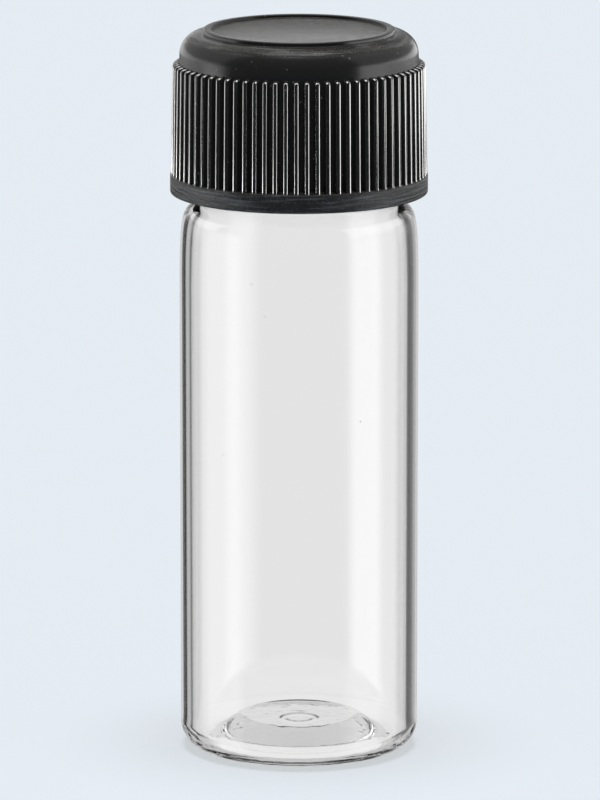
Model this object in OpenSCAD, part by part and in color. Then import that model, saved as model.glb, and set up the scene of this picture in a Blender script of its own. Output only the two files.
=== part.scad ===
// Screw-cap glass sample vial: a tubular glass body with a threaded neck,
// a ribbed moulded plastic cap and the sealing disc that lies inside the cap.
// Millimetres, +Z up, origin at the centre of the foot on which the glass stands.

/* [Glass body] */
// Outside diameter of the glass body
body_d = 15; // [14:0.1:18]
// Thickness of the body's wall
body_wall = 0.7; // [0.5:0.05:1]
// Height of the glass from its foot to the rim of the mouth
glass_h = 44; // [40:0.5:70]
// Height over which the body draws in to the foot of the neck
shoulder_h = 6.65; // [5.5:0.05:8]
// Slope of the shoulder where it meets the neck's fillet, from the axis
shoulder_slope = 52; // [46:1:60]
// Thickness of the glass at the shoulder's top, measured level
shoulder_wall = 0.9; // [0.7:0.05:1.1]
// Radius of the fillet between the shoulder and the neck
neck_fillet = 1; // [0.6:0.05:1.2]
// Radius of the edge inside, where the shoulder meets the mouth's bore
throat_round = 0.8; // [0.4:0.05:1.2]

/* [Glass base] */
// Radius of the rounded heel outside
heel_r = 1.6; // [1.3:0.05:2.1]
// Radius of the rounded corner inside, between floor and wall
inner_heel_r = 0.9; // [0.8:0.05:1.4]
// Width of the flat ring that the vial stands on
foot_w = 0.4; // [0.2:0.05:0.6]
// Height of the hollow under the base, at its middle
punt_h = 0.5; // [0.4:0.05:1]
// Radius of the level middle of the hollow under the base
punt_flat_r = 4.2; // [2.4:0.1:4.6]
// Thickness of the base at its middle
base_t = 1.5; // [1.2:0.05:1.7]
// Radius of the raised level middle of the inside floor
floor_flat_r = 3.4; // [2.6:0.1:4.4]
// Depth of the groove that runs round the inside floor, below its middle
floor_drop = 1.25; // [0.8:0.05:1.35]
// Radius of the small ring mark under the middle of the base
mark_r = 1; // [0.8:0.1:1.6]
// Depth of the small ring mark
mark_h = 0.08; // [0.05:0.01:0.15]
// Width of the small ring mark
mark_w = 0.7; // [0.4:0.1:0.9]

/* [Neck and thread] */
// Diameter of the neck between the thread's turns
neck_d = 11.6; // [11:0.05:12]
// Diameter of the bore through the neck
bore_d = 8.4; // [7:0.1:9]
// Height of the neck finish, from the foot of the neck to the rim
finish_h = 8; // [7.5:0.05:10]
// Radius of the fire-polished edges of the rim
rim_round = 0.4; // [0.2:0.05:0.6]
// Rise of the thread in one turn
thread_pitch = 2.117; // [1.9:0.001:2.4]
// Height of the glass thread above the neck
thread_h = 0.65; // [0.5:0.05:0.75]
// Width of the glass thread at its root
thread_w = 1.05; // [0.9:0.05:1.1]
// Number of turns of the glass thread
thread_turns = 2; // [1.5:0.25:2.25]
// Distance from the rim down to the middle of the thread's upper end
thread_start = 1.5; // [1.3:0.1:2]
// Clearance between glass and cap where their threads mesh
thread_clear = 0.15; // [0.1:0.01:0.25]

/* [Cap] */
// Thickness of the cap's side wall, from its bore to the floor of the grooves
skirt_wall = 0.9; // [0.8:0.05:1.4]
// How far the cap's lower edge comes down past the foot of the neck
skirt_lap = 0.35; // [0:0.05:0.5]
// Thickness of the cap's top
top_wall = 0.9; // [0.8:0.05:1.4]
// Radius of the rounded edge of the cap's top
top_round = 1.35; // [0.8:0.05:1.6]
// Outside diameter of the low ring on the cap's top
ring_d = 11.94; // [10:0.05:12]
// Width of the low ring
ring_w = 0.47; // [0.3:0.01:0.8]
// Height of the low ring above the cap's top
ring_h = 0.26; // [0.15:0.01:0.4]
// Depth of the recess inside the low ring
recess_depth = 0.18; // [0.1:0.01:0.3]
// Height of the plain band at the cap's lower edge
band_h = 1.2; // [0.8:0.05:2]
// How far the plain band stands out from the floor of the grooves
band_proud = 0.57; // [0.4:0.01:0.8]
// Depth of the bevel inside the cap's mouth
mouth_bevel = 0.2; // [0.1:0.05:0.4]
// Width of the internal thread at its root
cap_thread_w = 0.8; // [0.6:0.05:0.9]
// Number of turns of the internal thread
cap_thread_turns = 1.75; // [1.25:0.25:2]
// Radius of the corner inside the cap, between its bore and its top
ceiling_corner = 0.2; // [0.1:0.05:0.4]

/* [Grip ribs] */
// Number of grip ribs round the cap
rib_count = 75; // [48:1:90]
// Width of a rib at its crest
rib_w = 0.27; // [0.2:0.01:0.3]
// Width of a rib at the floor of the grooves
rib_root_w = 0.36; // [0.3:0.01:0.4]
// Height of the ribs above the floor of the grooves, at their lower end
rib_h = 0.53; // [0.3:0.01:0.6]
// How much lower the ribs stand at their upper end
rib_draft = 0.1; // [0:0.01:0.15]
// Distance from the cap's top down to the upper ends of the ribs
rib_drop = 1.85; // [1.7:0.05:3]
// Height over which a rib's upper end rounds off
rib_round = 0.5; // [0.3:0.05:1]
// Turn of the ribs about the cap's axis, from the front
rib_turn = -1.2; // [-2.4:0.1:2.4]

/* [Sealing disc] */
// Thickness of the sealing disc
liner_t = 0.8; // [0.5:0.05:1.5]
// Clearance between the sealing disc and the corner inside the cap
liner_clear = 0.1; // [0.05:0.01:0.2]

/* [Hidden] */

round_fn = 120;          // facets of a full circle in a drawn view
curve_steps = 12;        // straight pieces that stand for one curve of an outline
floor_steps = 24;        // straight pieces across the floor of the glass
turn_steps = 30;         // rings of the thread in one turn
ridge_steps = 6;         // straight pieces across the thread's section
ridge_power = 0.6;       // 1 gives a sine-shaped ridge, and less a fuller one
thread_sink = 0.2;       // how deep a thread's root lies inside the wall that carries it
thread_fade = 40;        // degrees over which a thread rises to its full height
shoulder_start = 0.85;   // how far the shoulder's curve keeps to the body, of its height
shoulder_end = 0.22;     // how far it keeps to its slope at the top, of its height
front = -90;             // direction of the front, from +X

body_r = body_d / 2;
cavity_r = body_r - body_wall;
neck_r = neck_d / 2;
bore_r = bore_d / 2;
neck_foot = glass_h - finish_h;
shoulder_foot = neck_foot - shoulder_h;
slope_r = neck_r + neck_fillet * (1 - cos(shoulder_slope));
slope_z = neck_foot - neck_fillet * sin(shoulder_slope);
throat_r = bore_r + throat_round * (1 - cos(shoulder_slope));
throat_z = slope_z + (slope_r - shoulder_wall - throat_r) / tan(shoulder_slope);
foot_out_r = body_r - heel_r;
foot_in_r = foot_out_r - foot_w;
floor_z = punt_h + base_t;
groove_z = floor_z - floor_drop;
groove_r = cavity_r - inner_heel_r;

thread_length = thread_turns * thread_pitch;
thread_foot = glass_h - thread_start - thread_length;

cap_bore_r = neck_r + thread_h + thread_clear;
cap_crest_r = neck_r + thread_clear;
cap_foot = neck_foot - skirt_lap;
cap_ceiling = glass_h + liner_t;
cap_top = cap_ceiling + top_wall;
groove_floor_r = cap_bore_r + skirt_wall;
band_r = groove_floor_r + band_proud;
band_top = cap_foot + band_h;
rib_top = cap_top - rib_drop;
cap_thread_foot = thread_foot - thread_pitch / 2;
ring_r = ring_d / 2;
recess_z = cap_top + ring_h - recess_depth;

liner_r = cap_bore_r - ceiling_corner - liner_clear;

// Points of a cubic curve from a to d, pulled towards b and c.
function curve(a, b, c, d, steps) =
    [for (i = [0:steps]) let (t = i / steps, s = 1 - t)
        s * s * s * a + 3 * s * s * t * b + 3 * s * t * t * c + t * t * t * d];

// Points of an arc about [x, z], from one angle to another.
function arc(x, z, r, from, to, steps) =
    [for (i = [0:steps]) let (angle = from + (to - from) * i / steps)
        [x + r * cos(angle), z + r * sin(angle)]];

// Rises smoothly from 0 to 1 as x goes from low to high.
function ease(x, low, high) =
    let (t = min(1, max(0, (x - low) / (high - low))))
        t * t * (3 - 2 * t);

// Depth of the small ring mark at a radius: one smooth hollow round mark_r.
function mark_z(r) = mark_h * (1 - ease(abs(r - mark_r), 0, mark_w / 2));

// Height of the underside of the base at a radius.
function under_z(r) = punt_h * (1 - ease(r, punt_flat_r, foot_in_r)) + mark_z(r);

// Height of the inside floor at a radius.
function inside_z(r) = floor_z - floor_drop * ease(r, floor_flat_r, groove_r);

// A list of points without its first point.
function rest(points) = [for (i = [1:len(points) - 1]) points[i]];

// Points of the shoulder outside, from the body's wall up to the neck's fillet.
function shoulder() = curve(
    [body_r, shoulder_foot],
    [body_r, shoulder_foot + shoulder_start * shoulder_h],
    [slope_r + shoulder_end * shoulder_h * sin(shoulder_slope),
     slope_z - shoulder_end * shoulder_h * cos(shoulder_slope)],
    [slope_r, slope_z],
    2 * curve_steps);

// Outline of the outside of the glass, from the middle of the base to the rim.
function glass_outside() = concat(
    [for (i = [0:floor_steps]) let (r = foot_in_r * i / floor_steps) [r, under_z(r)]],
    arc(foot_out_r, heel_r, heel_r, -90, 0, curve_steps),
    shoulder(),
    rest(arc(neck_r + neck_fillet, neck_foot, neck_fillet,
             180 + shoulder_slope, 180, curve_steps / 2)),
    arc(neck_r - rim_round, glass_h - rim_round, rim_round, 0, 90, curve_steps / 2));

// Outline of the inside of the glass, from the rim down to the middle of the floor.
// The shoulder's inside is its outside, moved towards the axis by the glass thickness.
function glass_inside() =
    let (outside = shoulder(), last = len(outside) - 1)
    concat(
        arc(bore_r + rim_round, glass_h - rim_round, rim_round, 90, 180, curve_steps / 2),
        arc(bore_r + throat_round, throat_z + throat_round * sin(shoulder_slope),
            throat_round, 180, 180 + shoulder_slope, curve_steps / 2),
        [for (i = [last:-1:0])
            let (depth = body_wall + (shoulder_wall - body_wall) * i / last)
            [outside[i][0] - depth, outside[i][1]]],
        arc(cavity_r - inner_heel_r, groove_z + inner_heel_r, inner_heel_r,
            0, -90, curve_steps),
        [for (i = [floor_steps - 1:-1:0]) let (r = groove_r * i / floor_steps)
            [r, inside_z(r)]]);

// Section of a thread's ridge, as [radius, height] points. It starts and ends inside
// the wall that carries it, and stands out from the wall by rise.
function ridge_section(wall_r, rise, side, width) =
    [for (i = [0:ridge_steps])
        let (swell = pow(sin(180 * i / ridge_steps), ridge_power),
             reach = -thread_sink + (rise + thread_sink) * swell)
        [wall_r + side * reach, width * (i / ridge_steps - 0.5)]];

// A right-hand helical ridge on a wall of radius wall_r. side is 1 for a thread that
// stands outwards and -1 for one that stands inwards.
module helical_ridge(wall_r, height, side, width, turns) {
    rings = ceil(turns * turn_steps);
    count = ridge_steps + 1;
    sweep = 360 * turns;
    points = [for (k = [0:rings])
        let (angle = sweep * k / rings,
             grown = ease(min(angle, sweep - angle), 0, thread_fade),
             low = -thread_sink / 2,
             rise = low + (height - low) * grown)
        for (p = ridge_section(wall_r, rise, side, width))
            [p[0] * cos(angle), p[0] * sin(angle), p[1] + thread_pitch * angle / 360]];
    sides = [for (k = [0:rings - 1], i = [0:count - 1])
        let (a = k * count + i,
             b = k * count + (i + 1) % count,
             c = b + count,
             d = a + count)
        for (face = [[a, b, c], [a, c, d]])
            side > 0 ? face : [face[0], face[2], face[1]]];
    first = [for (i = [1:count - 2]) side > 0 ? [0, i + 1, i] : [0, i, i + 1]];
    last_ring = rings * count;
    last = [for (i = [1:count - 2])
        side > 0 ? [last_ring, last_ring + i, last_ring + i + 1]
                 : [last_ring, last_ring + i + 1, last_ring + i]];
    polyhedron(points = points, faces = concat(sides, first, last), convexity = 10);
}

// The blown glass vial with its rolled thread, one piece.
module vial() {
    color([0.85, 0.9, 0.92, 0.35])
    union() {
        rotate_extrude($fn = round_fn)
            polygon(concat(glass_outside(), glass_inside()));
        translate([0, 0, thread_foot])
            rotate([0, 0, front])
                helical_ridge(neck_r, thread_h, 1, thread_w, thread_turns);
    }
}

// The soft sealing disc that the rim presses against.
module cap_liner() {
    color([0.93, 0.92, 0.88])
    translate([0, 0, glass_h])
        cylinder(r = liner_r, h = liner_t, $fn = round_fn);
}

// The cap's solid core, without its ribs: skirt, plain band, rounded top and low ring.
module cap_core() {
    rotate_extrude($fn = round_fn)
        polygon(concat(
            [[0, cap_foot], [band_r, cap_foot], [band_r, band_top],
             [groove_floor_r, band_top]],
            arc(groove_floor_r - top_round, cap_top - top_round, top_round,
                0, 90, curve_steps),
            [[ring_r, cap_top],
             [ring_r, cap_top + ring_h],
             [ring_r - ring_w, cap_top + ring_h],
             [ring_r - ring_w, recess_z],
             [0, recess_z]]));
}

// All grip ribs as one toothed prism, cut to the cone and the rounded upper ends.
module grip_ribs() {
    root_r = groove_floor_r - skirt_wall / 2;
    crest_r = groove_floor_r + 2 * rib_h;
    slope = (rib_root_w - rib_w) / (2 * rib_h);
    half_root = rib_root_w / 2 + slope * (groove_floor_r - root_r);
    half_crest = max(0, rib_root_w / 2 - slope * (crest_r - groove_floor_r));
    step = 360 / rib_count;
    intersection() {
        translate([0, 0, band_top])
            linear_extrude(height = rib_top - band_top)
                polygon([for (k = [0:rib_count - 1])
                    let (mid = front + rib_turn + k * step)
                    for (p = [[root_r, -half_root], [crest_r, -half_crest],
                              [crest_r, half_crest], [root_r, half_root]])
                        let (angle = mid + atan(p[1] / p[0]))
                        [norm(p) * cos(angle), norm(p) * sin(angle)]]);
        rotate_extrude($fn = round_fn)
            polygon(concat(
                [[0, band_top],
                 [groove_floor_r + rib_h, band_top]],
                [for (i = [0:curve_steps]) let (angle = 90 * i / curve_steps)
                    [groove_floor_r + (rib_h - rib_draft) * cos(angle),
                     rib_top - rib_round * (1 - sin(angle))]],
                [[0, rib_top]]));
    }
}

// The hollow inside the cap, with a bevelled mouth.
module cap_hollow() {
    rotate_extrude($fn = round_fn)
        polygon(concat(
            [[0, cap_foot - mouth_bevel],
             [cap_bore_r + 2 * mouth_bevel, cap_foot - mouth_bevel],
             [cap_bore_r, cap_foot + mouth_bevel]],
            arc(cap_bore_r - ceiling_corner, cap_ceiling - ceiling_corner, ceiling_corner,
                0, 90, curve_steps / 2),
            [[0, cap_ceiling]]));
}

// The ribbed cap with its internal thread, one moulding.
module screw_cap() {
    color([0.09, 0.09, 0.095])
    union() {
        difference() {
            union() {
                cap_core();
                grip_ribs();
            }
            cap_hollow();
        }
        translate([0, 0, cap_thread_foot])
            rotate([0, 0, front])
                helical_ridge(cap_bore_r, cap_bore_r - cap_crest_r, -1, cap_thread_w,
                              cap_thread_turns);
    }
}

vial();
cap_liner();
screw_cap();
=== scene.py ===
"""Screw-cap glass sample vial, dressed for rendering round its packed solids.

Glass body with rolled thread, ribbed black cap with internal thread, sealing disc.
Metres, +Z up, the vial's axis on Z, its foot at the origin, front towards -Y.
"""

import math
from functools import partialmethod

import bmesh
import bpy
from bpy.props import FloatProperty, FloatVectorProperty, IntProperty, PointerProperty
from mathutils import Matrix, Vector


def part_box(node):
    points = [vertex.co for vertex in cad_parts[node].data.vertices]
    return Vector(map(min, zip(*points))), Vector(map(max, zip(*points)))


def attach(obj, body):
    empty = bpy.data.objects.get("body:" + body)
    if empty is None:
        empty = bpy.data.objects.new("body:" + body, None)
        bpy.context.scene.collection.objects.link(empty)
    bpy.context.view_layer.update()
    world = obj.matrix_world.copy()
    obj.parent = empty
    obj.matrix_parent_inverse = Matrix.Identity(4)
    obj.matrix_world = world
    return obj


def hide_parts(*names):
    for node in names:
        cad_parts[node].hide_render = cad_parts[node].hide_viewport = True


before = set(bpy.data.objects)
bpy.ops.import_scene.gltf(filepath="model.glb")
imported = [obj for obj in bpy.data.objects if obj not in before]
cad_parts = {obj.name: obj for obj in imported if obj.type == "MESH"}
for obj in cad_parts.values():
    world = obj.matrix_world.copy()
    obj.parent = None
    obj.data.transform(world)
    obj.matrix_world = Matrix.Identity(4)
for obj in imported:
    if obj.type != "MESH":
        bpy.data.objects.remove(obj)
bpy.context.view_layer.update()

bl_info = {
    "name": "Glass Sample Vial",
    "version": (1, 0, 0),
    "blender": (4, 5, 0),
    "location": "3D View > Sidebar > Sample Vial",
    "description": "Builds a screw-cap glass sample vial and a small studio for it",
    "category": "Object",
}

MM = 0.001
GLASS_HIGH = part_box("vial")[1]
CAP_LOW, CAP_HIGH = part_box("screw_cap")
DISC_LOW, DISC_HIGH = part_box("cap_liner")
FRONT = math.radians(-90)
ARC_STEPS = 14
CURVE_STEPS = 32
THREAD_ROW = 0.075 * MM
NODE_ACROSS, NODE_DOWN, NODE_ROWS = 190, 60, 5


# ---- settings


def length(name, default, description, high=0.2):
    """A length in metres."""
    return FloatProperty(name=name, description=description, default=default, min=0.0,
                         max=high, precision=5, subtype="DISTANCE", unit="LENGTH")


def mm(name, value, description):
    """A length, given here in millimetres."""
    return length(name, value * MM, description)


def angle(name, degrees, description):
    """An angle, given here in degrees."""
    return FloatProperty(name=name, description=description,
                         default=math.radians(degrees), min=-math.pi, max=math.pi,
                         subtype="ANGLE", unit="ROTATION")


def share(name, default, description, high=1.0):
    """A plain number from 0 up to a limit."""
    return FloatProperty(name=name, description=description, default=default, min=0.0,
                         max=high)


def count(name, default, description):
    """A whole number."""
    return IntProperty(name=name, description=description, default=default, min=1,
                       max=512)


def colour(name, default, description):
    """An opaque colour."""
    return FloatVectorProperty(name=name, description=description,
                               default=(*default, 1.0), size=4, min=0.0, max=1.0,
                               subtype="COLOR")


class GlassSizes(bpy.types.PropertyGroup):
    """Sizes of the glass body, its base, neck and thread."""

    body_radius: length("Body radius", GLASS_HIGH.x, "Outside radius of the body")
    height: length("Height", GLASS_HIGH.z, "Height of the glass, foot to rim")
    wall: mm("Wall", 0.7, "Thickness of the body's wall")
    shoulder_height: mm("Shoulder height", 6.65, "Height of the shoulder")
    shoulder_slope: angle("Shoulder slope", 52, "Slope at its top, from the axis")
    shoulder_start: share("Shoulder start", 0.85, "Pull at its foot, of its height")
    shoulder_end: share("Shoulder end", 0.22, "Pull at its top, of its height")
    shoulder_wall: mm("Shoulder wall", 0.9, "Glass thickness at its top")
    neck_radius: mm("Neck radius", 5.8, "Radius of the neck between turns")
    bore_radius: mm("Bore radius", 4.2, "Radius of the bore in the neck")
    neck_fillet: mm("Neck fillet", 1.0, "Fillet between shoulder and neck")
    throat_round: mm("Throat rounding", 0.8, "Rounding below the bore")
    finish_height: mm("Neck height", 8.0, "Foot of the neck to the rim")
    rim_round: mm("Rim rounding", 0.4, "Fire-polished edges of the rim")
    heel_radius: mm("Heel radius", 1.6, "Rounded heel outside")
    inner_heel: mm("Inner heel", 0.9, "Rounded corner inside")
    foot_width: mm("Foot width", 0.4, "Flat ring that the vial stands on")
    punt_height: mm("Punt height", 0.5, "Hollow under the base")
    punt_flat: mm("Punt flat", 4.2, "Level middle of the hollow, radius")
    base_thickness: mm("Base thickness", 1.5, "Glass in the base's middle")
    floor_flat: mm("Floor flat", 3.4, "Raised middle of the floor, radius")
    floor_drop: mm("Floor drop", 1.25, "Depth of the groove round the floor")
    mark_radius: mm("Ring mark radius", 1.0, "Small ring under the base")
    mark_height: mm("Ring mark height", 0.08, "Height of the small ring")
    mark_width: mm("Ring mark width", 0.7, "Width of the small ring")
    thread_pitch: mm("Thread pitch", 2.117, "Rise of the thread in a turn")
    thread_height: mm("Thread height", 0.65, "Height above the neck")
    thread_width: mm("Thread width", 1.05, "Width at the thread's root")
    thread_start: mm("Thread start", 1.5, "Rim to the upper end's middle")
    thread_turns: share("Thread turns", 2.0, "Turns of the glass thread", high=4.0)
    segments: count("Segments", 240, "Straight pieces round the glass")


class CapSizes(bpy.types.PropertyGroup):
    """Sizes of the cap moulding without its ribs."""

    foot: length("Lower edge", CAP_LOW.z, "Height of the cap's lower edge")
    ring_top: length("Ring top", CAP_HIGH.z, "Height of the low ring's top")
    band_radius: length("Band radius", CAP_HIGH.x, "Outside radius of the band")
    band_height: mm("Band height", 1.2, "Height of the plain band")
    band_proud: mm("Band stand-out", 0.57, "Band beyond the groove floor")
    bore_radius: mm("Bore radius", 6.6, "Inside radius of the skirt")
    crest_radius: mm("Thread crest", 5.95, "Inside radius of the thread")
    ceiling: length("Ceiling", DISC_HIGH.z, "Height of the cap's ceiling")
    ceiling_corner: mm("Ceiling corner", 0.2, "Corner inside the cap")
    mouth_bevel: mm("Mouth bevel", 0.2, "Bevel inside the cap's mouth")
    dome_radius: mm("Dome radius", 1.3, "Rounded edge of the cap's top")
    wall_height: mm("Plain wall", 2.1, "Cap's top to the foot of its lean")
    wall_lean: mm("Wall lean", 0.1, "Lean of the plain wall over the ribs")
    ring_radius: mm("Ring radius", 5.97, "Outside radius of the low ring")
    ring_width: mm("Ring width", 0.47, "Width of the low ring")
    ring_height: mm("Ring height", 0.26, "Ring above the cap's top")
    recess_depth: mm("Recess depth", 0.18, "Recess inside the ring")
    edge_round: mm("Edge rounding", 0.09, "Rounding of moulded edges")
    thread_width: mm("Thread width", 0.8, "Width of the internal thread")
    thread_turns: share("Thread turns", 1.75, "Turns of the thread", high=4.0)
    segments: count("Segments", 300, "Straight pieces round the cap")


class RibSizes(bpy.types.PropertyGroup):
    """Sizes of the grip ribs round the cap."""

    number: count("Ribs", 75, "Number of grip ribs round the cap")
    crest_width: mm("Crest width", 0.3, "Width of a rib at its crest")
    root_width: mm("Root width", 0.37, "Width of a rib at its root")
    height: mm("Height", 0.53, "Height at a rib's lower end")
    draft: mm("Draft", 0.1, "How much lower the upper end stands")
    drop: mm("Drop", 1.85, "Cap's top down to the ribs' upper ends")
    end_round: mm("End rounding", 0.24, "Height of the rounded upper end")
    corner: mm("Corner rounding", 0.11, "Rounding of the crest's corners")
    flare: mm("Root flare", 0.05, "Fillet between a rib and its groove")
    sink: mm("Sink", 0.06, "How deep a rib's root lies in the skirt")
    turn: angle("Turn", -1.2, "Turn of the ribs from the front")


class DiscSizes(bpy.types.PropertyGroup):
    """Sizes of the sealing disc."""

    radius: length("Radius", DISC_HIGH.x, "Radius of the sealing disc")
    low: length("Lower face", DISC_LOW.z, "Height of the lower face")
    high: length("Upper face", DISC_HIGH.z, "Height of the upper face")
    edge_round: mm("Edge rounding", 0.08, "Rounding of the disc's edges")
    dent: mm("Rim dent", 0.03, "Dent that the glass rim presses in")
    dent_width: mm("Dent width", 1.1, "Width of the rim's dent")
    segments: count("Segments", 160, "Straight pieces round the disc")


class Finishes(bpy.types.PropertyGroup):
    """Colours and finish of the three materials."""

    glass_tint: colour("Glass tint", (1.0, 1.0, 1.0), "Colour through thin glass")
    # Painted shade: grey given to the glass where its surface is seen edge-on.
    glass_edge: colour("Glass edge", (0.72, 0.73, 0.73), "Colour seen along the wall")
    heel_ripple: share("Heel ripple", 65.0, "Unevenness of the base and heel", 200.0)
    glass_ior: share("Glass index", 1.47, "Index of refraction of the glass", 2.0)
    plastic: colour("Plastic", (0.0272, 0.026, 0.0242), "Colour of the moulding")
    # Pale colour for dust, scuffs and nicks, and for the painted highlight lines on the
    # ribs' edges.
    plastic_worn: colour("Rubbed plastic", (0.785, 0.78, 0.77), "Colour of rubbed edges")
    plastic_rough: share("Plastic roughness", 0.2, "Roughness of the moulding")
    band_rough: share("Band roughness", 0.26, "Extra roughness of the plain band")
    # Paler streaks on the band are scuffs; under the ring they are partly scuffs, partly
    # a painted highlight.
    band_scuffs: share("Scuffs", 0.11, "Scuffed plastic on the band and by the ring")
    recess_mottle: share("Recess mottle", 0.12, "Paler grain in the recess on top")
    plastic_gloss: share("Plastic gloss", 0.5, "Specular level of the moulding")
    rib_gloss: share("Rib gloss", 0.1, "Specular level of the grip ribs")
    plastic_texture: share("Plastic texture", 0.5, "Depth of the moulding's grain")
    rib_texture: share("Rib texture", 0.06, "Depth of the ribs' grain")
    plastic_ior: share("Plastic index", 1.6, "Index of refraction of plastic", 2.0)
    foam: colour("Foam", (0.80, 0.78, 0.72), "Colour of the sealing disc")
    foam_dark: colour("Foam, darker", (0.68, 0.66, 0.60), "Darker grain of the disc")


class Studio(bpy.types.PropertyGroup):
    """Camera, backdrop and light."""

    distance: length("Camera distance", 0.44399, "Camera in front of the axis", high=5)
    camera_height: length("Camera height", 0.11628, "Camera above the floor", high=5)
    camera_side: length("Camera side", 0.00006, "Camera to the right of the axis")
    pitch: angle("Camera pitch", 78.045, "Camera's tilt up from straight down")
    lens: share("Lens", 324.1, "Focal length in millimetres", high=1000.0)
    backdrop: colour("Backdrop", (0.7835, 0.8388, 0.9047), "Floor and backdrop")
    floor_tint: colour("Floor tint", (0.74, 0.845, 1.0), "Colour of the floor")
    floor_light: colour("Floor light", (0.883, 0.917, 0.925), "Fill on the floor")
    floor_glow: share("Floor glow", 0.6, "Share of the floor's light that is fill")
    bank_light: share("Bank light", 0.4, "Light of the bank over the table", high=9.0)
    lamp: share("Lamp", 2.1, "Strength of the soft lamp straight overhead", high=9.0)
    lamp_size: angle("Lamp size", 24, "How wide the lamp appears")
    floor_size: length("Floor size", 3.0, "Side of the floor", high=20)
    card: share("Back card", 0.86, "Light of the card behind the glass", high=3.0)
    edge_light: share("Edge light", 0.58, "Light seen along the wall", high=3.0)
    upper_light: share("Upper light", 0.62, "Light seen upwards in the base", high=3.0)
    side_light: share("Side light", 1.7, "Light of the side boxes", high=9.0)
    top_light: share("Top light", 1.5, "Light of the box overhead", high=9.0)
    back_light: share("Back light", 0.5, "Light low behind the object", high=9.0)
    cap_side: share("Cap side light", 2.4, "Side boxes, seen in the cap", high=9.0)
    cap_room: share("Cap room light", 0.012, "Rest of the room, seen in the cap")
    room_light: share("Room light", 0.1, "Light from the rest of the room", high=9.0)
    low_light: share("Low light", 0.04, "Light from below the table", high=9.0)
    bounces: count("Bounces", 14, "Turns of light inside the clear glass")


SETTINGS = {
    "vial_glass": GlassSizes, "vial_cap": CapSizes, "vial_ribs": RibSizes,
    "vial_disc": DiscSizes, "vial_finishes": Finishes, "vial_studio": Studio,
}


# ---- outlines


def ease(x, low, high):
    """Rises smoothly from 0 to 1 as x goes from low to high."""
    t = min(1.0, max(0.0, (x - low) / (high - low)))
    return t * t * (3 - 2 * t)


def arc(r, z, radius, start, end, steps=ARC_STEPS):
    """Points of an arc about (r, z), from one angle in degrees to another."""
    turns = [math.radians(start + (end - start) * i / steps) for i in range(steps + 1)]
    return [(r + radius * math.cos(a), z + radius * math.sin(a)) for a in turns]


def curve(a, b, c, d, steps=CURVE_STEPS):
    """Points of a cubic curve from a to d, pulled towards b and c."""
    a, b, c, d = (Vector(p) for p in (a, b, c, d))
    points = []
    for i in range(steps + 1):
        t = i / steps
        s = 1 - t
        p = s**3 * a + 3 * s * s * t * b + 3 * s * t * t * c + t**3 * d
        points.append((p.x, p.y))
    return points


def set_in(points, first, last):
    """Points moved towards the axis by a distance that grows along their line."""
    end = len(points) - 1
    return [(r - first - (last - first) * i / end, z)
            for i, (r, z) in enumerate(points)]


def rounded(corners):
    """Points of an outline whose corners, (r, z, rounding, steps), are rounded."""
    points = []
    for i, (r, z, rounding, steps) in enumerate(corners):
        if not rounding:
            points.append((r, z))
            continue
        here = Vector((r, z))
        back = (Vector(corners[i - 1][:2]) - here).normalized()
        ahead = (Vector(corners[i + 1][:2]) - here).normalized()
        half = back.angle(ahead) / 2
        centre = here + (back + ahead).normalized() * (rounding / math.sin(half))
        first = here + back * (rounding / math.tan(half)) - centre
        last = here + ahead * (rounding / math.tan(half)) - centre
        start = math.atan2(first.y, first.x)
        sweep = math.atan2(first.x * last.y - first.y * last.x, first.dot(last))
        points += arc(
            centre.x, centre.y, rounding, math.degrees(start),
            math.degrees(start + sweep), steps,
        )
    return points


def with_thread_rows(points, wall):
    """Adds close rows where an outline runs up a thread's wall: (r, z, thread)."""
    rows = []
    for here, ahead in zip(points, points[1:] + points[-1:]):
        on_wall = all(abs(p[0] - wall) < 1e-8 for p in (here, ahead))
        rise = ahead[1] - here[1]
        steps = max(1, round(abs(rise) / THREAD_ROW)) if on_wall else 1
        rows.append((*here, 0.0))
        rows += [(wall, here[1] + rise * k / steps, 1.0) for k in range(1, steps)]
    return rows


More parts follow.
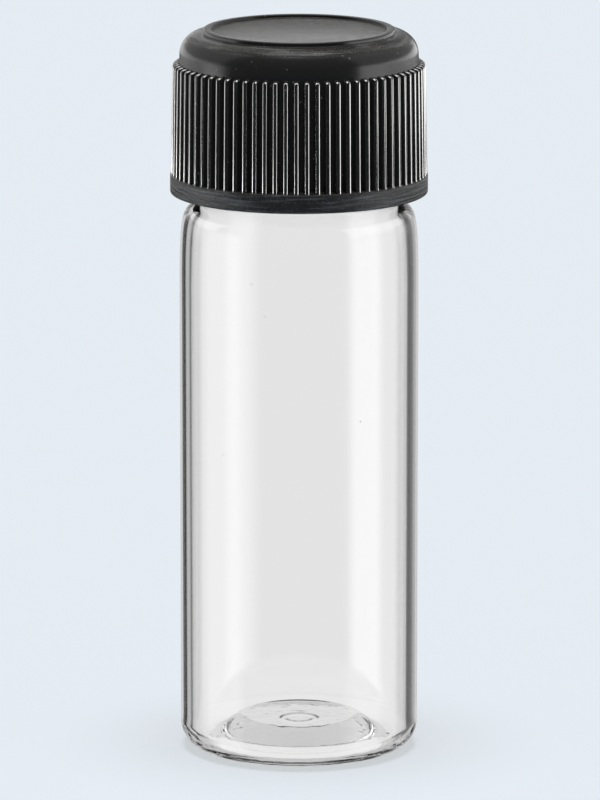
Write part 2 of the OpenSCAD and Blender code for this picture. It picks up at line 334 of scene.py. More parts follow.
def glass_outline(s):
    """Outline of the glass: under the base, up the outside, down the inside."""
    cavity = s.body_radius - s.wall
    top = s.height - s.finish_height
    foot = top - s.shoulder_height
    heel = s.body_radius - s.heel_radius
    foot_inner = heel - s.foot_width
    floor = s.punt_height + s.base_thickness
    groove = floor - s.floor_drop
    groove_r = cavity - s.inner_heel
    slope = math.degrees(s.shoulder_slope)
    lean, rise = math.sin(s.shoulder_slope), math.cos(s.shoulder_slope)
    neck, fillet, throat = s.neck_radius, s.neck_fillet, s.throat_round
    end_r, end_z = neck + fillet * (1 - rise), top - fillet * lean
    start_pull = s.shoulder_start * s.shoulder_height
    end_pull = s.shoulder_end * s.shoulder_height
    edge_r = s.bore_radius + throat * (1 - rise)
    edge_z = end_z + (end_r - s.shoulder_wall - edge_r) * rise / lean

    def under(r):
        off = abs(r - s.mark_radius) / (s.mark_width / 2)
        mark = s.mark_height * (1 - ease(off, 0, 1))
        return s.punt_height * (1 - ease(r, s.punt_flat, foot_inner)) + mark

    def inside(r):
        return floor - s.floor_drop * ease(r, s.floor_flat, groove_r)

    steps = 2 * CURVE_STEPS
    outside = [(foot_inner * i / steps, under(foot_inner * i / steps))
               for i in range(steps + 1)]
    outside += arc(heel, s.heel_radius, s.heel_radius, -90, 0)
    shoulder = curve(
        (s.body_radius, foot), (s.body_radius, foot + start_pull),
        (end_r + end_pull * lean, end_z - end_pull * rise), (end_r, end_z),
    )
    outside += shoulder
    outside += arc(neck + fillet, top, fillet, 180 + slope, 180, 8)[1:]
    outside += arc(neck - s.rim_round, s.height - s.rim_round, s.rim_round, 0, 90, 7)
    back = arc(s.bore_radius + s.rim_round, s.height - s.rim_round, s.rim_round,
               90, 180, 7)
    back += arc(s.bore_radius + throat, edge_z + throat * lean, throat,
                180, 180 + slope, 8)
    back += set_in(shoulder, s.wall, s.shoulder_wall)[::-1]
    back += arc(groove_r, groove + s.inner_heel, s.inner_heel, 0, -90)
    back += [(groove_r * i / steps, inside(groove_r * i / steps))
             for i in range(steps - 1, -1, -1)]
    return with_thread_rows(outside + back, neck)


def cap_outline(s):
    """Outline of the moulding, from its ceiling's middle round to its top's middle."""
    groove = s.band_radius - s.band_proud
    band_top = s.foot + s.band_height
    top = s.ring_top - s.ring_height
    recess = s.ring_top - s.recess_depth
    ring_inner = s.ring_radius - s.ring_width
    edge = s.edge_round
    corners = [
        (0, s.ceiling, 0, 0),
        (s.bore_radius, s.ceiling, s.ceiling_corner, 6),
        (s.bore_radius, s.foot + s.mouth_bevel, 0.6 * edge, 3),
        (s.bore_radius + s.mouth_bevel, s.foot, 0.6 * edge, 3),
        (s.band_radius, s.foot, edge, 6),
        (s.band_radius, band_top, 1.3 * edge, 6),
        (groove, band_top, edge, 4),
        (groove, top - s.wall_height, 2 * edge, 4),
        (groove - s.wall_lean, top, s.dome_radius, 26),
        (s.ring_radius, top, 0.7 * edge, 4),
        (s.ring_radius, s.ring_top, 0.8 * edge, 5),
        (ring_inner, s.ring_top, 0.7 * edge, 5),
        (ring_inner, recess, 0.6 * edge, 4),
        (0, recess, 0, 0),
    ]
    return with_thread_rows(rounded(corners), s.bore_radius)


def disc_outline(s, rim_radius):
    """Outline of the sealing disc, with the dent that the glass rim leaves."""
    def under(r):
        off = abs(r - rim_radius) / (s.dent_width / 2)
        return s.low + s.dent * (1 - ease(off, 0.5, 1))

    flat = s.radius - s.edge_round
    steps = 3 * CURVE_STEPS
    points = [(flat * i / steps, under(flat * i / steps)) for i in range(steps)]
    points += arc(flat, s.low + s.edge_round, s.edge_round, -90, 0, 5)
    points += arc(flat, s.high - s.edge_round, s.edge_round, 0, 90, 5)
    points.append((0, s.high))
    return [(*p, 0.0) for p in points]


# ---- node trees


class Bench:
    """Adds nodes to one tree and joins them up."""

    def __init__(self, tree):
        self.tree = tree
        self.row = 0

    def add(self, kind, inputs=None, **settings):
        """A node with its settings, its inputs joined or given a value."""
        node = self.tree.nodes.new(kind)
        node.location = (NODE_ACROSS * self.row, -NODE_DOWN * (self.row % NODE_ROWS))
        self.row += 1
        for name, value in settings.items():
            setattr(node, name, value)
        for key, value in (inputs or {}).items():
            self.feed(node.inputs[key], value)
        return node

    def feed(self, socket, value):
        """Joins an output to a socket, or sets the socket's own value."""
        if isinstance(value, bpy.types.NodeSocket):
            self.tree.links.new(value, socket)
        else:
            socket.default_value = value

    def math(self, operation, *values, clamp=False):
        """One step of arithmetic."""
        node = self.add("ShaderNodeMath", operation=operation, use_clamp=clamp)
        for socket, value in zip(node.inputs, values):
            self.feed(socket, value)
        return node.outputs[0]

    # the sums that come most often, by name
    plus = partialmethod(math, "ADD")
    minus = partialmethod(math, "SUBTRACT")
    times = partialmethod(math, "MULTIPLY")
    over = partialmethod(math, "DIVIDE")
    times_plus = partialmethod(math, "MULTIPLY_ADD")
    most = partialmethod(math, "MAXIMUM")

    def smooth(self, value, low, high, start=0.0, end=1.0):
        """A smooth rise from start to end as value goes from low to high."""
        inputs = {"Value": value, "From Min": low, "From Max": high,
                  "To Min": start, "To Max": end}
        kind = "SMOOTHSTEP"
        node = self.add("ShaderNodeMapRange", inputs, interpolation_type=kind)
        return node.outputs["Result"]

    def blend(self, factor, first, second):
        """A colour between two colours."""
        node = self.add("ShaderNodeMix", data_type="RGBA")
        for socket, value in zip((0, 6, 7), (factor, first, second)):
            self.feed(node.inputs[socket], value)
        return node.outputs[2]

    def mix(self, factor, first, second):
        """A number between two numbers."""
        node = self.add("ShaderNodeMix", {0: factor, 2: first, 3: second})
        return node.outputs[0]

    def noise(self, place, scale, detail, roughness=0.5):
        """Smooth noise at a place, about 0.5 in the middle."""
        inputs = {"Vector": place, "Scale": scale, "Detail": detail,
                  "Roughness": roughness}
        return self.add("ShaderNodeTexNoise", inputs).outputs[0]

    def bump(self, strength, distance, height):
        """A normal that follows a height."""
        inputs = {"Strength": strength, "Distance": distance, "Height": height}
        return self.add("ShaderNodeBump", inputs).outputs[0]

    def ended(self, outputs):
        """The tree, closed with its outputs."""
        self.add("NodeGroupOutput", outputs)
        return self.tree


def new_tree(name, kind, inputs, outputs):
    """Starts a node tree. A socket is given by its default, or else by its kind."""
    tree = bpy.data.node_groups.new(name, kind)
    for side, sockets in (("INPUT", inputs), ("OUTPUT", outputs)):
        for title, value in sockets.items():
            plain = isinstance(value, str)
            kind = value if plain else type(value).__name__.title()
            socket = tree.interface.new_socket(
                title, in_out=side, socket_type="NodeSocket" + kind)
            if not plain:
                socket.default_value = value
    bench = Bench(tree)
    return bench, bench.add("NodeGroupInput").outputs


def ridge_offset(bench, start, turned, height):
    """How far a helical ridge stands out at an angle and a height."""
    pitch, rise, width = (start[n] for n in ("Pitch", "Ridge Height", "Ridge Width"))
    fade, sink, soft = 40 / 360, 0.2 * MM, 0.12 * MM
    phase = bench.math("FRACT", bench.minus(turned, start["Ridge Phase"]))
    level = bench.over(bench.minus(height, start["Ridge Foot"]), pitch)
    ahead = bench.minus(level, phase)
    lap = bench.math("FLOOR", bench.plus(ahead, 0.5))
    along = bench.plus(phase, lap)
    left = bench.minus(start["Ridge Turns"], along)
    grown = bench.smooth(bench.math("MINIMUM", along, left), 0.0, fade)
    across = bench.times(bench.minus(ahead, lap), pitch)
    place = bench.plus(bench.over(across, width), 0.5, clamp=True)
    swell = bench.math("SINE", bench.times(place, math.pi))
    swell = bench.math("POWER", bench.most(swell, 0.0), 0.6)
    low = -sink / 2
    stand = bench.times_plus(bench.minus(rise, low), grown, low)
    reach = bench.times_plus(bench.plus(stand, sink), swell, -sink)
    return bench.math("SMOOTH_MAX", reach, 0.0, soft)


def turned_outline_tree():
    """Turns an outline round Z into a closed mesh, with a helical ridge on a wall."""
    bench, start = new_tree("Turned Outline", "GeometryNodeTree", {
        "Outline": "Geometry", "Segments": 240,
        "Ridge Side": 1.0, "Ridge Foot": 0.0, "Ridge Phase": FRONT / math.tau,
        "Ridge Turns": 2.0, "Pitch": 2.117 * MM, "Ridge Height": 0.65 * MM,
        "Ridge Width": 1.05 * MM, "Weld Distance": 0.001 * MM, "Material": "Material",
    }, {"Mesh": "Geometry"})
    outline = start["Outline"]
    rows = bench.add("GeometryNodeAttributeDomainSize", {0: outline})
    rows = rows.outputs["Point Count"]
    grid = bench.add("GeometryNodeMeshGrid", {
        "Vertices X": bench.plus(start["Segments"], 1), "Vertices Y": rows})
    index = bench.add("GeometryNodeInputIndex").outputs[0]
    column = bench.math("FLOOR", bench.over(bench.plus(index, 0.5), rows))
    row = bench.minus(index, bench.times(column, rows))
    place = bench.add("GeometryNodeInputPosition").outputs[0]
    thread = bench.add("GeometryNodeInputNamedAttribute", {"Name": "thread"})
    samples = []
    for kind, field in (("FLOAT_VECTOR", place), ("FLOAT", thread.outputs[0])):
        inputs = {"Geometry": outline, "Value": field, "Index": row}
        node = bench.add("GeometryNodeSampleIndex", inputs, data_type=kind)
        samples.append(node.outputs[0])
    point = bench.add("ShaderNodeSeparateXYZ", {0: samples[0]}).outputs
    turned = bench.over(column, start["Segments"])
    ridge = ridge_offset(bench, start, turned, point["Z"])
    ridge = bench.times(ridge, samples[1])
    radius = bench.times_plus(ridge, start["Ridge Side"], point["X"])
    turn = bench.times(turned, math.tau)
    placed = bench.add("ShaderNodeCombineXYZ", {
        "X": bench.times(radius, bench.math("COSINE", turn)),
        "Y": bench.times(radius, bench.math("SINE", turn)), "Z": point["Z"]})
    shaped = bench.add("GeometryNodeSetPosition", {
        "Geometry": grid.outputs["Mesh"], "Position": placed.outputs[0]})
    welded = bench.add("GeometryNodeMergeByDistance", {
        "Geometry": shaped.outputs[0], "Distance": start["Weld Distance"]})
    return finish_tree(bench, start, welded.outputs[0])


def rib_ring_tree():
    """Sets copies of one rib evenly round the axis."""
    bench, start = new_tree("Grip Rib Ring", "GeometryNodeTree", {
        "Rib": "Geometry", "Count": 75, "Turn": 0.0, "Material": "Material",
    }, {"Mesh": "Geometry"})
    points = bench.add("GeometryNodePoints", {"Count": start["Count"]})
    index = bench.add("GeometryNodeInputIndex").outputs[0]
    step = bench.over(math.tau, start["Count"])
    turn = bench.times_plus(index, step, start["Turn"])
    rotation = bench.add("ShaderNodeCombineXYZ", {"Z": turn})
    ring = bench.add("GeometryNodeInstanceOnPoints", {
        "Points": points.outputs[0], "Instance": start["Rib"],
        "Rotation": rotation.outputs[0]})
    return finish_tree(bench, start, ring.outputs[0])


def finish_tree(bench, start, geometry):
    """Ends a tree: smooth faces, real geometry, one material."""
    smooth = bench.add("GeometryNodeSetShadeSmooth", {"Geometry": geometry})
    real = bench.add("GeometryNodeRealizeInstances", {0: smooth.outputs[0]})
    dressed = bench.add("GeometryNodeSetMaterial", {
        "Geometry": real.outputs[0], "Material": start["Material"]})
    return bench.ended({0: dressed.outputs[0]})


def tree_named(name, maker):
    """The tree of that name, made on first use."""
    return bpy.data.node_groups.get(name) or maker()


def linked(name, data):
    """A new object in the scene."""
    item = bpy.data.objects.new(name, data)
    bpy.context.scene.collection.objects.link(item)
    return item


def grown_piece(name, mesh, tree, values, sharp_angle=35):
    """Runs a tree on a mesh and returns the plain mesh object that it gives."""
    piece = linked(name, mesh)
    modifier = piece.modifiers.new(tree.name, "NODES")
    modifier.node_group = tree
    for socket in tree.interface.items_tree:
        if socket.in_out == "INPUT" and socket.name in values:
            modifier[socket.identifier] = values[socket.name]
    evaluated = piece.evaluated_get(bpy.context.evaluated_depsgraph_get())
    grown = bpy.data.meshes.new_from_object(evaluated)
    piece.modifiers.clear()
    piece.data = grown
    bpy.data.meshes.remove(mesh)
    grown.name = name
    body = bmesh.new()
    body.from_mesh(grown)
    bmesh.ops.recalc_face_normals(body, faces=body.faces)
    body.to_mesh(grown)
    body.free()
    grown.set_sharp_from_angle(angle=math.radians(sharp_angle))
    return piece


def turned_piece(name, rows, values, sharp_angle=35):
    """A piece turned from an outline, (r, z, thread) in each row."""
    mesh = bpy.data.meshes.new(name)
    points = [(r, 0.0, z) for r, z, _ in rows]
    mesh.from_pydata(points, [(i, i + 1) for i in range(len(rows) - 1)], [])
    marks = mesh.attributes.new("thread", "FLOAT", "POINT")
    marks.data.foreach_set("value", [mark for _, _, mark in rows])
    tree = tree_named("Turned Outline", turned_outline_tree)
    return grown_piece(name, mesh, tree, values, sharp_angle)


# ---- shader groups


def fine_grain_group():
    """Fine moulded or foamed grain as a height and a mask, with flow lines."""
    bench, start = new_tree("Fine Grain", "ShaderNodeTree", {
        "Vector": "Vector", "Scale": 12000.0, "Flow": 0.0, "Pits": 0.3,
    }, {"Height": "Float", "Mask": "Float", "Streaks": "Float"})
    place = start["Vector"]
    grain = bench.noise(place, start["Scale"], 3.0, 0.6)
    stretch = bench.add("ShaderNodeVectorMath", {0: place, 1: (420.0, 420.0, 6500.0)},
                        operation="MULTIPLY")
    flow = bench.noise(stretch.outputs[0], 1.0, 2.0)
    coarse = bench.noise(place, bench.times(start["Scale"], 0.12), 2.0)
    pits = bench.smooth(coarse, 0.56, 0.7)
    height = bench.times_plus(bench.times(pits, start["Pits"]), -1.0, grain)
    height = bench.times_plus(flow, start["Flow"], height)
    mask = bench.smooth(grain, 0.5, 0.75)
    streaks = bench.smooth(flow, 0.45, 0.7)
    return bench.ended({"Height": height, "Mask": mask, "Streaks": streaks})


def specks_group():
    """Sparse small specks, such as dust, nicks and seeds in glass, as a mask."""
    bench, start = new_tree("Specks", "ShaderNodeTree", {
        "Vector": "Vector", "Scale": 400.0, "Size": 0.03, "Share": 0.5,
    }, {"Mask": "Float"})
    cells = bench.add("ShaderNodeTexVoronoi", {
        "Vector": start["Vector"], "Scale": start["Scale"]})
    pick = bench.add("ShaderNodeSeparateColor", {0: cells.outputs["Color"]})
    size = bench.times(start["Size"], bench.plus(pick.outputs[1], 0.35))
    near = bench.over(cells.outputs["Distance"], size)
    spot = bench.smooth(near, 0.6, 1.0, 1.0, 0.0)
    chosen = bench.math("LESS_THAN", pick.outputs[0], start["Share"])
    return bench.ended({"Mask": bench.times(spot, chosen)})


def soft_box_group():
    """A soft-edged patch of light in the sky, by azimuth and height, as a mask."""
    bench, start = new_tree("Soft Box", "ShaderNodeTree", {
        "Azimuth": 0.0, "Height": 0.0, "Middle": 0.0, "Half Width": 0.5, "Low": -0.5,
        "High": 0.5, "Softness": 0.1,
    }, {"Mask": "Float"})
    soft = start["Softness"]

    def edge(value, at, *ends):
        low, high = bench.minus(start[at], soft), bench.plus(start[at], soft)
        return bench.smooth(value, low, high, *ends)

    off = bench.minus(start["Azimuth"], start["Middle"])
    off = bench.math("ABSOLUTE", bench.math("WRAP", off, math.pi, -math.pi))
    side = edge(off, "Half Width", 1.0, 0.0)
    low = edge(start["Height"], "Low")
    high = edge(start["Height"], "High", 1.0, 0.0)
    return bench.ended({"Mask": bench.times(side, bench.times(low, high))})


def group_node(bench, name, maker, inputs):
    """A shared group placed in a material with its own values."""
    node = bench.add("ShaderNodeGroup", node_tree=tree_named(name, maker))
    for key, value in inputs.items():
        bench.feed(node.inputs[key], value)
    return node.outputs


def specks(bench, place, scale, size, part):
    """Mask of specks of a size, in a part of the cells."""
    return group_node(bench, "Specks", specks_group, {
        "Vector": place, "Scale": scale, "Size": size, "Share": part})["Mask"]


# ---- materials


def emptied(owner):
    """A bench for a material's or the world's tree, cleared of its first nodes."""
    owner.use_nodes = True
    owner.node_tree.nodes.clear()
    return Bench(owner.node_tree)


def new_material(name):
    """A material, its bench and a place on the object."""
    material = bpy.data.materials.new(name)
    bench = emptied(material)
    return material, bench, bench.add("ShaderNodeTexCoord").outputs["Object"]


def finish_material(bench, shader):
    """Joins the shader to the material's surface."""
    bench.add("ShaderNodeOutputMaterial", {"Surface": shader.outputs[0]})


def clear_glass(name, s):
    """Clear tubular glass: painted shade darkens it where seen edge-on, with faint seeds
    and waves.
    """
    material, bench, place = new_material(name)
    # Painted shade: the tint turns grey where the surface is seen edge-on, for dark
    # outlines along the walls.
    facing = bench.add("ShaderNodeLayerWeight", {"Blend": 0.5}).outputs["Facing"]
    along = bench.smooth(facing, 0.8, 1.0)
    tint = bench.blend(along, s.glass_tint, s.glass_edge)
    seeds = specks(bench, place, 330.0, 0.022, 0.6)
    grey = (0.45, 0.45, 0.45, 1.0)
    tint = bench.blend(seeds, tint, grey)
    waves = bench.add("ShaderNodeVectorMath", {0: place, 1: (260.0, 260.0, 40.0)},
                      operation="MULTIPLY")
    waves = bench.noise(waves.outputs[0], 1.0, 1.0)
    height = bench.times_plus(seeds, 0.6, waves)
    above = bench.add("ShaderNodeSeparateXYZ", {0: place}).outputs["Z"]
    heel = bench.smooth(above, 0.6 * MM, 2.2 * MM, s.heel_ripple, 0.0)
    height = bench.times_plus(heel, bench.noise(place, 1050.0, 1.0), height)
    shader = bench.add("ShaderNodeBsdfPrincipled", {
        "Base Color": tint, "Roughness": 0.0, "IOR": s.glass_ior,
        "Transmission Weight": 1.0, "Normal": bench.bump(1.0, 0.0004 * MM, height)})
    finish_material(bench, shader)
    return material


def black_moulding(name, gloss, texture, s, cap):
    """Black plastic: mottled recess, flow lines, scuffs, painted highlights on rib edges.
    """
    material, bench, place = new_material(name)
    parts = bench.add("ShaderNodeSeparateXYZ", {0: place}).outputs
    flat = bench.add("ShaderNodeCombineXYZ", {"X": parts["X"], "Y": parts["Y"]})
    radius = bench.add("ShaderNodeVectorMath", {0: flat.outputs[0]},
                       operation="LENGTH").outputs["Value"]
    recess_r = cap.ring_radius - cap.ring_width
    recess_z = cap.ring_top - cap.recess_depth
    in_recess = bench.times(
        bench.smooth(radius, recess_r - 0.2 * MM, recess_r, 1.0, 0.0),
        bench.smooth(parts["Z"], recess_z - 0.2 * MM, recess_z - 0.1 * MM))
    band_top = cap.foot + cap.band_height
    on_band = bench.smooth(parts["Z"], band_top - 0.1 * MM, band_top + 0.1 * MM,
                           1.0, 0.0)
    dome_top = cap.ring_top - cap.ring_height
    # Partly painted highlight: paler streaks in a ring just under the low ring, where the
    # dome's top turns up; partly scuffs.
    ring_scuffs_and_sheen = bench.times(
        bench.smooth(radius, cap.ring_radius, cap.ring_radius + 0.05 * MM),
        bench.smooth(parts["Z"], dome_top - 0.6 * MM, dome_top - 0.25 * MM))
    streaked_zone = bench.most(on_band, ring_scuffs_and_sheen)
    grain = group_node(bench, "Fine Grain", fine_grain_group, {
        "Vector": place, "Scale": 9000.0, "Flow": bench.times(streaked_zone, 5.0),
        "Pits": 0.4})
    # Painted highlight: the ribs' crest corners and upper ends, marked on the rib mesh,
    # turn pale and metallic to give bright lines.
    painted_glint = bench.add("ShaderNodeAttribute", attribute_name="painted_glint")
    beads = bench.smooth(bench.noise(place, 5200.0, 2.0), 0.3, 0.55, 0.75, 1.0)
    painted_glint = bench.smooth(bench.times(painted_glint.outputs["Fac"], beads), 0.35, 0.6)
    coarse = bench.most(in_recess, streaked_zone)
    depth = bench.times_plus(coarse, 1.3, texture)
    nicks = specks(bench, place, 1100.0, 0.12, 0.12)
    dust = specks(bench, place, 2300.0, 0.13, 0.3)
    height = bench.times(grain["Height"], depth)
    height = bench.times_plus(nicks, -2.0, height)
    rough = bench.times_plus(bench.noise(place, 420.0, 4.0), 0.12,
                             s.plastic_rough - 0.06)
    rough = bench.times_plus(grain["Mask"], 0.08, rough)
    rough = bench.times_plus(on_band, s.band_rough, rough)
    rough = bench.times_plus(painted_glint, -0.06, rough)
    streaks = bench.plus(grain["Streaks"], grain["Mask"])
    # Paler streaks: scuffs on the band, and under the ring partly a painted highlight.
    pale_marks_and_sheen = bench.times(bench.times(streaked_zone, s.band_scuffs), streaks)
    mottle = bench.noise(place, 5600.0, 2.0, 0.6)
    mottle = bench.smooth(mottle, 0.4, 0.64, 0.0, s.recess_mottle)
    pale_marks_and_sheen = bench.times_plus(in_recess, mottle, pale_marks_and_sheen)
    wear_and_glint = bench.most(bench.times(dust, 0.2), pale_marks_and_sheen)
    wear_and_glint = bench.times_plus(nicks, 0.06, wear_and_glint)
    # Adds the ribs' painted highlight lines to the pale marks.
    wear_and_glint = bench.most(wear_and_glint, painted_glint)
    shader = bench.add("ShaderNodeBsdfPrincipled", {
        "Base Color": bench.blend(wear_and_glint, s.plastic, s.plastic_worn),
        "Metallic": painted_glint, "Roughness": rough, "IOR": s.plastic_ior,
        "Specular IOR Level": gloss, "Normal": bench.bump(0.7, 0.009 * MM, height)})
    finish_material(bench, shader)
    return material


def liner_foam(name, s):
    """Off-white foamed sealing disc with fine open grain."""
    material, bench, place = new_material(name)
    grain = group_node(bench, "Fine Grain", fine_grain_group, {
        "Vector": place, "Scale": 7000.0, "Pits": 0.9})
    spots = specks(bench, place, 1500.0, 0.1, 0.15)
    shade = bench.blend(grain["Mask"], s.foam, s.foam_dark)
    shader = bench.add("ShaderNodeBsdfPrincipled", {
        "Base Color": bench.blend(bench.times(spots, 0.4), shade, s.foam_dark),
        "Roughness": bench.times_plus(grain["Mask"], 0.15, 0.62),
        "Normal": bench.bump(0.6, 0.01 * MM, grain["Height"])})
    finish_material(bench, shader)
    return material


def material_named(name, maker, *settings):
    """The material of that name, made on first use."""
    return bpy.data.materials.get(name) or maker(name, *settings)


# ---- pieces


def rib_mesh(rib, cap):
    """One grip rib on the +X side: lofted sections from the band to a round end."""
    groove = cap.band_radius - cap.band_proud
    in_band, least, narrowing = 0.15 * MM, 0.02 * MM, 0.25
    low = cap.foot + cap.band_height - in_band
    top = cap.ring_top - cap.ring_height - rib.drop
    root, crest = rib.root_width / 2, rib.crest_width / 2
    shoulder = top - rib.end_round

    def section(height):
        """Half a section, from the groove to the crest, as (offset, height)."""
        corner = min(rib.corner, height / 2)
        flare = min(rib.flare, height / 3)
        half = [(root + flare, 0.0)]
        half += arc(root + flare, flare, flare, 270, 180, 3)
        half += arc(crest - corner, height - corner, corner, 0, 86, 5)
        return half + [(crest - corner, height), (0.0, height)]

    full = rib.height
    levels = [(low, full, 1.0), (shoulder, full - rib.draft, 1.0)]
    for i in range(1, 10):
        turn = math.radians(10 * i)
        z = shoulder + rib.end_round * math.sin(turn)
        up = max(0.0, (z - (top - root)) / root)
        width = 1 - narrowing * min(1.0, up) ** 2
        levels.append((z, (full - rib.draft) * math.cos(turn), width))
    body = bmesh.new()
    # Painted highlight: a mask on the crest's corners and the rounded upper end, for
    # bright lines in the material.
    painted_glint = body.verts.layers.float.new("painted_glint")
    rings = []
    for z, height, width in levels:
        plunge = rib.sink * (1 - height / full)
        half = section(max(height, least))
        outline = [(-t, h) for t, h in half] + [(t, h) for t, h in half[-2::-1]]
        outline = [(outline[0][0], -rib.sink)] + outline
        outline.append((outline[-1][0], -rib.sink))
        ring = []
        for t, h in outline:
            r = groove + h - plunge * 1.5
            turn = t * width / r
            vert = body.verts.new((r * math.cos(turn), r * math.sin(turn), z))
            off = (abs(t) - crest) / rib.corner
            side = ease(off, -1, -0.94) * (1 - ease(off, -0.25, -0.06))
            end = ease(height, 0.35 * full, 0.45 * full)
            end *= 1 - ease(height, 0.6 * full, 0.7 * full)
            vert[painted_glint] = (h > height - 1.4 * rib.corner) * max(side, end)
            ring.append(vert)
        rings.append(ring)
    for lower, upper in zip(rings, rings[1:]):
        for i in range(len(lower)):
            k = (i + 1) % len(lower)
            body.faces.new((lower[i], lower[k], upper[k], upper[i]))
    body.faces.new(rings[0])
    body.faces.new(list(reversed(rings[-1])))
    bmesh.ops.recalc_face_normals(body, faces=body.faces)
    mesh = bpy.data.meshes.new("rib")
    body.to_mesh(mesh)
    body.free()
    return mesh


def thread_foot(glass):
    """Height of the middle of the glass thread's lower end."""
    return glass.height - glass.thread_start - glass.thread_turns * glass.thread_pitch


class VIAL_OT_glass(bpy.types.Operator):
    """Builds the glass body with its neck and rolled thread"""

    bl_idname = "vial.glass"
    bl_label = "Glass vial"

    def execute(self, context):
        s, finish = context.scene.vial_glass, context.scene.vial_finishes
        values = {
            "Segments": s.segments, "Ridge Side": 1.0, "Ridge Foot": thread_foot(s),
            "Ridge Turns": s.thread_turns, "Pitch": s.thread_pitch,
            "Ridge Height": s.thread_height, "Ridge Width": s.thread_width,
            "Material": material_named("Clear tubular glass", clear_glass, finish),
        }
        piece = turned_piece("glass_vial", glass_outline(s), values, sharp_angle=60)
        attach(piece, "glass")
        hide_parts("vial")
        return {"FINISHED"}


class VIAL_OT_disc(bpy.types.Operator):
    """Builds the sealing disc inside the cap"""

    bl_idname = "vial.disc"
    bl_label = "Sealing disc"

    def execute(self, context):
        scene = context.scene
        s, glass, finish = scene.vial_disc, scene.vial_glass, scene.vial_finishes
        values = {
            "Segments": s.segments,
            "Material": material_named("Foamed sealing disc", liner_foam, finish),
        }
        rim = (glass.neck_radius + glass.bore_radius) / 2
        piece = turned_piece("sealing_disc", disc_outline(s, rim), values)
        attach(piece, "liner")
        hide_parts("cap_liner")
        return {"FINISHED"}


class VIAL_OT_cap(bpy.types.Operator):
    """Builds the cap's moulding: skirt, band, dome, low ring and inner thread"""

    bl_idname = "vial.cap"
    bl_label = "Cap moulding"

    def execute(self, context):
        scene = context.scene
        s, glass, finish = scene.vial_cap, scene.vial_glass, scene.vial_finishes
        values = {
            "Segments": s.segments, "Ridge Side": -1.0,
            "Ridge Foot": thread_foot(glass) - glass.thread_pitch / 2,
            "Ridge Turns": s.thread_turns, "Pitch": glass.thread_pitch,
            "Ridge Height": s.bore_radius - s.crest_radius,
            "Ridge Width": s.thread_width,
            "Material": material_named(
                "Black moulded plastic", black_moulding, finish.plastic_gloss,
                finish.plastic_texture, finish, s),
        }
        piece = turned_piece("cap_moulding", cap_outline(s), values)
        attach(piece, "cap")
        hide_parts("screw_cap")
        return {"FINISHED"}


class VIAL_OT_ribs(bpy.types.Operator):
    """Builds the grip ribs round the cap"""

    bl_idname = "vial.ribs"
    bl_label = "Grip ribs"

    def execute(self, context):
        scene = context.scene
        s, cap, finish = scene.vial_ribs, scene.vial_cap, scene.vial_finishes
        values = {
            "Count": s.number, "Turn": FRONT + s.turn,
            "Material": material_named(
                "Black plastic grip ribs", black_moulding, finish.rib_gloss,
                finish.rib_texture, finish, cap),
        }
        tree = tree_named("Grip Rib Ring", rib_ring_tree)
        piece = grown_piece("grip_ribs", rib_mesh(s, cap), tree, values)
        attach(piece, "cap")
        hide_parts("screw_cap")
        return {"FINISHED"}


# ---- studio


def patch_mask(bench, azimuth, height, patch):
    """Mask of one patch of sky: (middle, half width, low, high, softness)."""
    middle, half, low, high, softness = patch
    return group_node(bench, "Soft Box", soft_box_group, {
        "Azimuth": azimuth, "Height": height,
        "Middle": math.radians(middle), "Half Width": math.radians(half),
        "Low": low, "High": high, "Softness": softness})["Mask"]


def lit_by(bench, azimuth, height, boxes, light):
    """The brightest of a dim room's light and the light boxes, in one direction."""
    for *patch, strength in boxes:
        mask = patch_mask(bench, azimuth, height, patch)
        light = bench.most(light, bench.times(mask, strength))
    return light


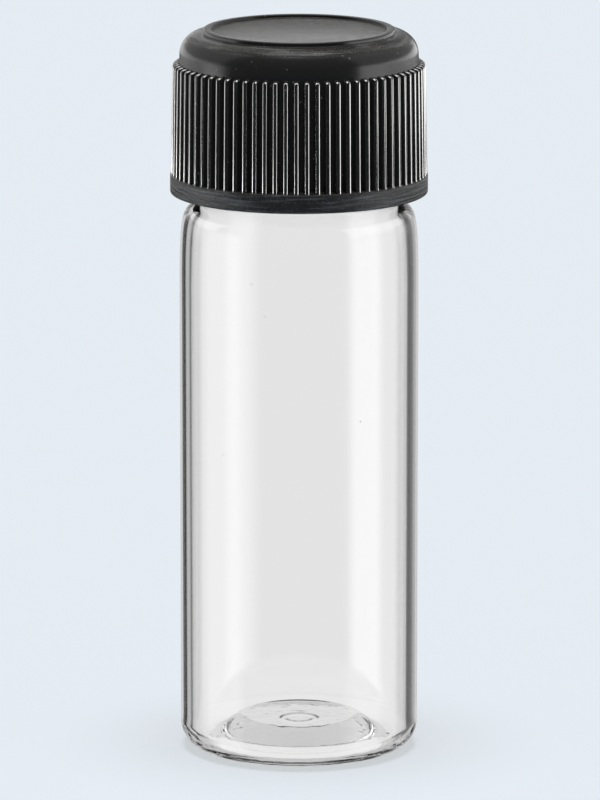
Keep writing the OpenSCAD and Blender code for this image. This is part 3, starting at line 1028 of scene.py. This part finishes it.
def studio_world(s):
    """The room's light: boxes at both sides and overhead, a pale card behind."""
    world = bpy.data.worlds.new("Studio light")
    world.cycles.sampling_method = "NONE"
    bench = emptied(world)
    way = bench.add("ShaderNodeTexCoord").outputs["Generated"]
    part = bench.add("ShaderNodeSeparateXYZ", {0: way}).outputs
    height = part["Z"]
    azimuth = bench.math("ARCTAN2", part["X"], bench.times(part["Y"], -1.0))
    side, cap, back, top = s.side_light, s.cap_side, s.back_light, s.top_light
    in_glass = lit_by(bench, azimuth, height, [
        # middle, half width, low, high, softness, light
        (-80, 22, -0.70, 0.20, 0.12, side),
        (70, 20, -0.70, 0.20, 0.22, side),
        (-116, 20, -0.70, 0.20, 0.20, 0.4 * side),
        (110, 34, -0.70, 0.20, 0.20, 0.4 * side),
        (-128, 38, 0.14, 0.80, 0.08, 1.2 * side),
        (92, 42, 0.14, 0.80, 0.08, 1.2 * side),
        (180, 24, -0.60, 0.10, 0.07, 0.4 * side),
        (180, 60, 0.02, 0.34, 0.06, back),
        (0, 190, 0.92, 1.30, 0.04, top),
    ], bench.smooth(height, -0.12, 0.02, s.low_light, s.room_light))
    in_cap = lit_by(bench, azimuth, height, [
        (-90, 14, -0.36, -0.14, 0.04, 2.3 * cap),
        (77, 17, -0.36, -0.14, 0.04, 1.3 * cap),
        (-142, 38, -0.40, -0.15, 0.04, 0.08 * cap),
        (137, 43, -0.40, -0.15, 0.04, 0.08 * cap),
        (-132, 50, -0.13, 0.10, 0.03, 0.46 * cap),
        (112, 52, -0.12, 0.10, 0.03, 0.72 * cap),
        (-128, 52, 0.10, 0.86, 0.06, 0.17 * cap),
        (112, 52, 0.10, 0.86, 0.06, 0.17 * cap),
        (180, 60, 0.02, 0.34, 0.06, 0.7 * back),
        (0, 190, 0.92, 1.30, 0.04, top),
    ], s.cap_room)
    behind = s.edge_light
    for *patch, darkness in [
        # middle, half width, low, high, softness, darkness
        (-159.5, 7.0, -0.50, 0.15, 0.05, 1.0),
        (-129, 13.0, -0.50, 0.15, 0.07, 0.95),
        (147, 10.0, -0.50, 0.15, 0.12, 0.96),
        (127, 9.0, -0.50, 0.15, 0.05, 0.9),
    ]:
        mask = patch_mask(bench, azimuth, height, patch)
        behind = bench.times(bench.times_plus(mask, -darkness, 1.0), behind)
    path = bench.add("ShaderNodeLightPath").outputs
    through = path["Is Transmission Ray"]
    bounced = bench.math("GREATER_THAN", path["Glossy Depth"], 0.5)
    straight = bench.times(through, bench.minus(1.0, bounced))
    short = bench.math("LESS_THAN", path["Transmission Depth"], 2.5)
    turned = bench.times(through, bounced)
    downward = bench.smooth(height, -0.72, -0.60, 1.0, 0.0)
    upward = bench.smooth(height, -0.10, 0.05)
    bank = patch_mask(bench, azimuth, height, (0, 110, 0.5, 1.3, 0.2))
    light = bench.mix(path["Is Diffuse Ray"], in_cap, bench.times(s.bank_light, bank))
    light = bench.mix(path["Is Singular Ray"], light, in_glass)
    light = bench.mix(straight, light, s.card)
    edges = bench.mix(short, light, behind)
    edges = bench.mix(downward, edges, s.card)
    edges = bench.mix(upward, edges, s.upper_light)
    light = bench.mix(turned, light, edges)
    tone = bench.add("ShaderNodeCombineColor", {
        "Red": light, "Green": light, "Blue": light})
    shown = bench.blend(path["Is Camera Ray"], tone.outputs[0], s.backdrop)
    glow = bench.add("ShaderNodeBackground", {"Color": shown, "Strength": 1.0})
    bench.add("ShaderNodeOutputWorld", {"Surface": glow.outputs[0]})
    return world


def floor_material(s):
    """Pale matt floor that hides its underside from the camera."""
    material, bench, _ = new_material("Pale floor")
    matt = bench.add("ShaderNodeBsdfDiffuse", {"Color": s.floor_tint})
    lit = bench.add("ShaderNodeEmission", {"Color": s.floor_light, "Strength": 1.0})
    seen = bench.add("ShaderNodeLightPath").outputs["Is Camera Ray"]
    matt = bench.add("ShaderNodeMixShader", {
        0: bench.times(seen, s.floor_glow), 1: matt.outputs[0], 2: lit.outputs[0]})
    clear = bench.add("ShaderNodeBsdfTransparent")
    under = bench.add("ShaderNodeNewGeometry").outputs["Backfacing"]
    mix = bench.add("ShaderNodeMixShader", {
        0: under, 1: matt.outputs[0], 2: clear.outputs[0]})
    finish_material(bench, mix)
    return material


class VIAL_OT_studio(bpy.types.Operator):
    """Builds the floor, the light and the camera"""

    bl_idname = "vial.studio"
    bl_label = "Studio"

    def execute(self, context):
        scene = context.scene
        s = scene.vial_studio
        half = s.floor_size / 2
        mesh = bpy.data.meshes.new("floor")
        corners = [(-half, -half, 0), (half, -half, 0), (half, half, 0), (-half, half, 0)]
        mesh.from_pydata(corners, [], [(0, 1, 2, 3)])
        mesh.materials.append(floor_material(s))
        floor = linked("floor", mesh)
        sun = bpy.data.lights.new("overhead_lamp", "SUN")
        sun.energy = s.lamp
        sun.angle = s.lamp_size
        lamp = linked("overhead_lamp", sun)
        for item in (floor, lamp):
            item.visible_glossy = item.visible_transmission = False
        scene.world = studio_world(s)
        camera = bpy.data.cameras.new("camera")
        camera.lens = s.lens
        camera.clip_start = 0.01
        eye = linked("camera", camera)
        eye.location = (s.camera_side, -s.distance, s.camera_height)
        eye.rotation_euler = (s.pitch, 0.0, 0.0)
        scene.camera = eye
        scene.view_settings.view_transform = "Standard"
        rays = scene.cycles
        rays.glossy_bounces = rays.transmission_bounces = s.bounces
        rays.max_bounces = s.bounces
        return {"FINISHED"}


OPERATORS = (VIAL_OT_glass, VIAL_OT_disc, VIAL_OT_cap, VIAL_OT_ribs, VIAL_OT_studio)


class VIAL_PT_panel(bpy.types.Panel):
    """The vial's operators and settings in the sidebar"""

    bl_idname = "VIAL_PT_panel"
    bl_label = "Glass Sample Vial"
    bl_space_type = "VIEW_3D"
    bl_region_type = "UI"
    bl_category = "Sample Vial"

    def draw(self, context):
        for operator in OPERATORS:
            self.layout.operator(operator.bl_idname)
        for name, group in SETTINGS.items():
            box = self.layout.box()
            box.label(text=group.__doc__)
            for key in group.__annotations__:
                box.prop(getattr(context.scene, name), key)


CLASSES = (*SETTINGS.values(), *OPERATORS, VIAL_PT_panel)


def register():
    """Registers the classes and the scene's settings."""
    for item in CLASSES:
        bpy.utils.register_class(item)
    for name, group in SETTINGS.items():
        setattr(bpy.types.Scene, name, PointerProperty(type=group))


def unregister():
    """Removes the scene's settings and the classes."""
    for name in SETTINGS:
        delattr(bpy.types.Scene, name)
    for item in reversed(CLASSES):
        bpy.utils.unregister_class(item)


def main():
    """Builds every piece and the studio."""
    register()
    bpy.ops.vial.glass()
    bpy.ops.vial.disc()
    bpy.ops.vial.cap()
    bpy.ops.vial.ribs()
    bpy.ops.vial.studio()


if __name__ == "__main__":
    main()
